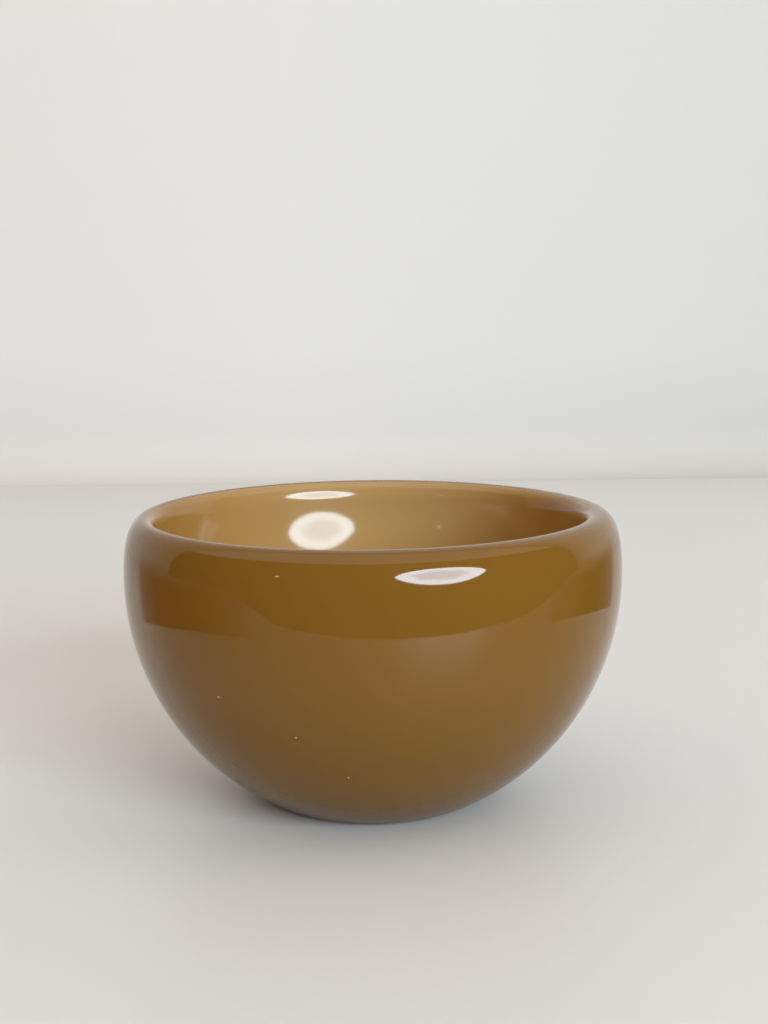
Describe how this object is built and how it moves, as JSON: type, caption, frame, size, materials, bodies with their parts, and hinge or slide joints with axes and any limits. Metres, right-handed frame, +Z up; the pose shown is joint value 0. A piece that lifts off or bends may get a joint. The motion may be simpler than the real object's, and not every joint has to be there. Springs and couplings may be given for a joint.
{
  "type": "art glass bowl",
  "caption": "Round thick-walled opaline glass bowl with a soft rolled-in rim, a deep lined cavity and a small flat polished base that it stands on.",
  "frame": {"origin": "middle of the flat face that the bowl stands on", "axes": "+Z up along the bowl's own axis, towards the mouth; X and Y lie in the plane of the resting face"},
  "size_m": [0.12, 0.12, 0.0705],
  "materials": {
    "amber_casing": "glossy opaline glass, amber brown",
    "opal_core": "opal glass, pale honey",
    "caramel_lining": "glossy opaline glass, light caramel"
  },
  "bodies": {
    "root": {"outer_casing": "amber_casing", "opal_core": "opal_core", "inner_lining": "caramel_lining"}
  },
  "joints": []
}
